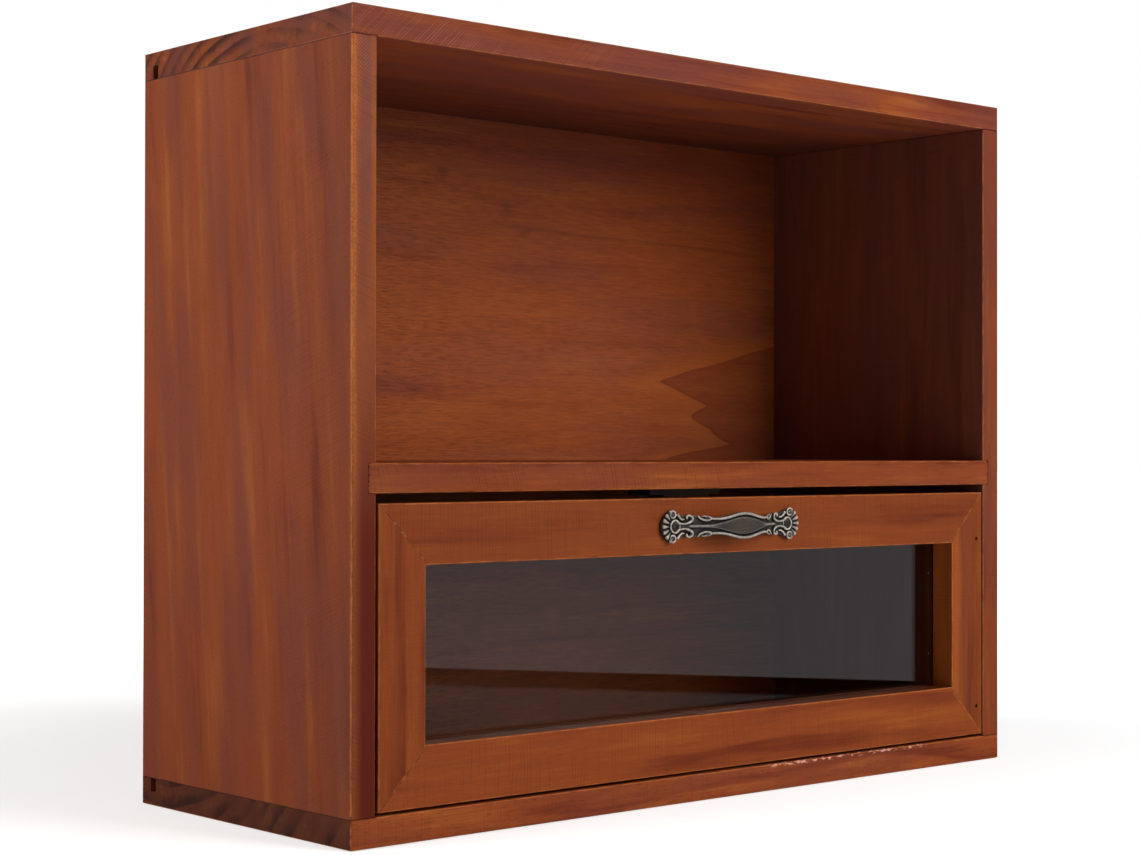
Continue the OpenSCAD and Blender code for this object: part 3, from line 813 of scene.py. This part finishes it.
def pewter():
    """Dark aged casting, rubbed bright on what stands proud, with a painted highlight there too, and
    rusty specks near its middle.
    """
    s = Shader("pewter")
    place = s.place()
    point = s.vector(place["X"], place["Y"], place["Z"])
    crest = s.add("Attribute", {}, output="Fac", attribute_name="crest")
    fine = s.noise(point, 2.2, 3.0)
    crest = s.total(crest, s.scaled(fine, 0.12, -0.06))
    deep = s.between(crest, -0.22, 0.0, 1.0, 0.0)
    # What stands proud is light: rubbed bright, and a painted highlight as well
    high = s.between(crest, 0.04, 0.31)
    uneven = s.between(s.noise(point, 0.8, 2.0), 0.3, 0.7, 0.6, 1.0)
    colour = s.mix(s.product(high, uneven), (0.055, 0.050, 0.046, 1.0), (0.78, 0.69, 0.60, 1.0))
    middle = s.math("ABSOLUTE", s.math("SUBTRACT", place["X"], handle_centre().x / MM))
    speckle = s.product(s.between(s.noise(point, 2.2, 4.0, 0.7), 0.48, 0.66),
                        s.between(middle, 4, 12, 0.75, 0.0), s.scaled(high, -1.0, 1.0))
    colour = s.mix(speckle, colour, (0.22, 0.13, 0.06, 1.0))
    colour = s.mix(deep, colour, (0.008, 0.007, 0.006, 1.0))
    return s.finish(colour, s.scaled(high, -0.15, 0.5), s.scaled(fine, 0.04), metallic=0.4)


def handle_centre():
    """The middle of the handle's back, against the door."""
    low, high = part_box("handle")
    return Vector(((low.x + high.x) / 2, high.y, (low.z + high.z) / 2))


def make_handle():
    """The ornamented casting that stands for the plain CAD handle."""
    skin = fused(handle_relief())
    centre = handle_centre()
    heights = np.array([vertex.co.z - bow(vertex.co.x) for vertex in skin.vertices])
    skin.attributes.new("crest", "FLOAT", "POINT").data.foreach_set("value", crests(skin, heights))
    for vertex in skin.vertices:
        u, v, w = vertex.co
        vertex.co = (centre.x + u * MM, centre.y - w * MM, centre.z + v * MM)
    skin.shade_smooth()
    skin.name = "cast_handle"
    handle = bpy.data.objects.new("cast_handle", skin)
    bpy.context.scene.collection.objects.link(handle)
    skin.materials.clear()
    skin.materials.append(pewter())
    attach(handle, "door")
    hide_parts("handle")


# ---- Stage ----

FLOOR_GREY = (0.86, 0.86, 0.86, 1.0)
FLOOR_HALF = 12
# Painted reflection: as the glass shows it, the floor turns from dark to grey at a line: a point on it,
# and its normal
MIRROR_POINT = (263, -604)
MIRROR_NORMAL = (0.825, -0.565)
MIRROR_TINT = (1.0, 0.92, 0.96, 1.0)
ROOM_LIGHT = 0.12
# The camera that the cabinet's proportions were fitted with
LENS = 70.02
SENSOR = 36.0
CAMERA_AT = (-0.7014, -0.7750, 0.1553)
CAMERA_TURN = (90.549, -0.087, -41.351)


def aimed(obj, place, target):
    """Places an object so that its -Z axis points at the target."""
    obj.location = place
    obj.rotation_euler = (Vector(target) - Vector(place)).to_track_quat("-Z", "Y").to_euler()


def softbox(name, place, target, size, power, colour=(1.0, 1.0, 1.0)):
    """A rectangular lamp. size is in metres and power in watts."""
    data = bpy.data.lights.new(name, "AREA")
    data.shape = "RECTANGLE"
    data.size, data.size_y = size
    data.energy = power
    data.color = colour
    lamp = bpy.data.objects.new(name, data)
    bpy.context.scene.collection.objects.link(lamp)
    aimed(lamp, place, target)
    return lamp


def sheet(name, x, y, z):
    """A flat rectangle at height z, from x[0] to x[1] and y[0] to y[1]."""
    mesh = bpy.data.meshes.new(name)
    mesh.from_pydata([(x[0], y[0], z), (x[1], y[0], z), (x[1], y[1], z), (x[0], y[1], z)],
                     [], [(0, 1, 2, 3)])
    obj = bpy.data.objects.new(name, mesh)
    bpy.context.scene.collection.objects.link(obj)
    return obj


def make_floor():
    """A white floor that fades into the background. To reflected rays it is black and glows in greys
    instead, a painted reflection for the glass.
    """
    s = Shader("floor_white")
    s.surface.inputs["Roughness"].default_value = 0.9
    s.surface.inputs["Specular IOR Level"].default_value = 0.0
    place = s.place()
    away = s.math("SQRT", s.math("ADD", s.product(place["X"], place["X"]),
                                 s.product(place["Y"], place["Y"])))
    camera_ray = s.add("LightPath", {}, output="Is Camera Ray")
    glossy_ray = s.add("LightPath", {}, output="Is Glossy Ray")
    lift = s.between(away, 250, 900, 0.5, 1.0)
    past = s.total(*(s.scaled(place[axis], normal, -normal * point)
                     for axis, normal, point in zip("XY", MIRROR_NORMAL, MIRROR_POINT)))
    reflection_glow = s.total(s.between(past, -4, 4, 0.0, 0.38), s.between(past, -125, -95, 0.16, 0.0))
    s.put(s.surface.inputs["Emission Strength"],
          s.total(s.product(camera_ray, lift), s.product(glossy_ray, reflection_glow)))
    s.put(s.surface.inputs["Emission Color"], s.mix(glossy_ray, WHITE, MIRROR_TINT))
    s.put(s.surface.inputs["Base Color"], s.mix(glossy_ray, FLOOR_GREY, BLACK))
    reach = (-FLOOR_HALF, FLOOR_HALF)
    floor = sheet("floor", reach, reach, -0.0002)
    floor.data.materials.append(s.material)


def make_world():
    """A white background that gives only a little light."""
    world = bpy.data.worlds.new("studio")
    world.use_nodes = True
    bpy.context.scene.world = world
    tree = world.node_tree
    back = tree.nodes["Background"]
    rays = tree.nodes.new("ShaderNodeLightPath")
    level = tree.nodes.new("ShaderNodeMath")
    level.operation = "MULTIPLY_ADD"
    tree.links.new(rays.outputs["Is Camera Ray"], level.inputs[0])
    level.inputs[1].default_value = 1.0 - ROOM_LIGHT
    level.inputs[2].default_value = ROOM_LIGHT
    tree.links.new(level.outputs[0], back.inputs["Strength"])
    back.inputs["Color"].default_value = WHITE


def make_camera():
    data = bpy.data.cameras.new("camera")
    data.lens = LENS
    data.sensor_width = SENSOR
    camera = bpy.data.objects.new("camera", data)
    camera.location = CAMERA_AT
    camera.rotation_euler = [math.radians(angle) for angle in CAMERA_TURN]
    bpy.context.scene.collection.objects.link(camera)
    bpy.context.scene.camera = camera


def make_lights():
    """A broad key in front, a narrow glint for the metal, a low bounce, and a side light."""
    middle = (0, 0, 0.16)
    key = softbox("key", (0.8, -1.6, 0.85), middle, (1.3, 1.3), 31)
    softbox("glint", (0.2, -1.2, 1.0), middle, (0.3, 0.9), 2.2)
    bounce = softbox("bounce", (0.1, -0.9, 0.02), (0, 0, 0.3), (0.8, 0.4), 1.3)
    for lamp in (key, bounce):
        lamp.visible_camera = False
        lamp.visible_glossy = False
    bounce.visible_transmission = False
    softbox("side", (-1.8, 0.5, 0.7), (-0.2, 0, 0.16), (1.2, 1.4), 30, (1.0, 0.97, 0.95))


make_camera()
make_world()
make_lights()
make_floor()
dress_boards()
dress_fittings()
make_handle()
bpy.context.scene.view_settings.view_transform = "Standard"
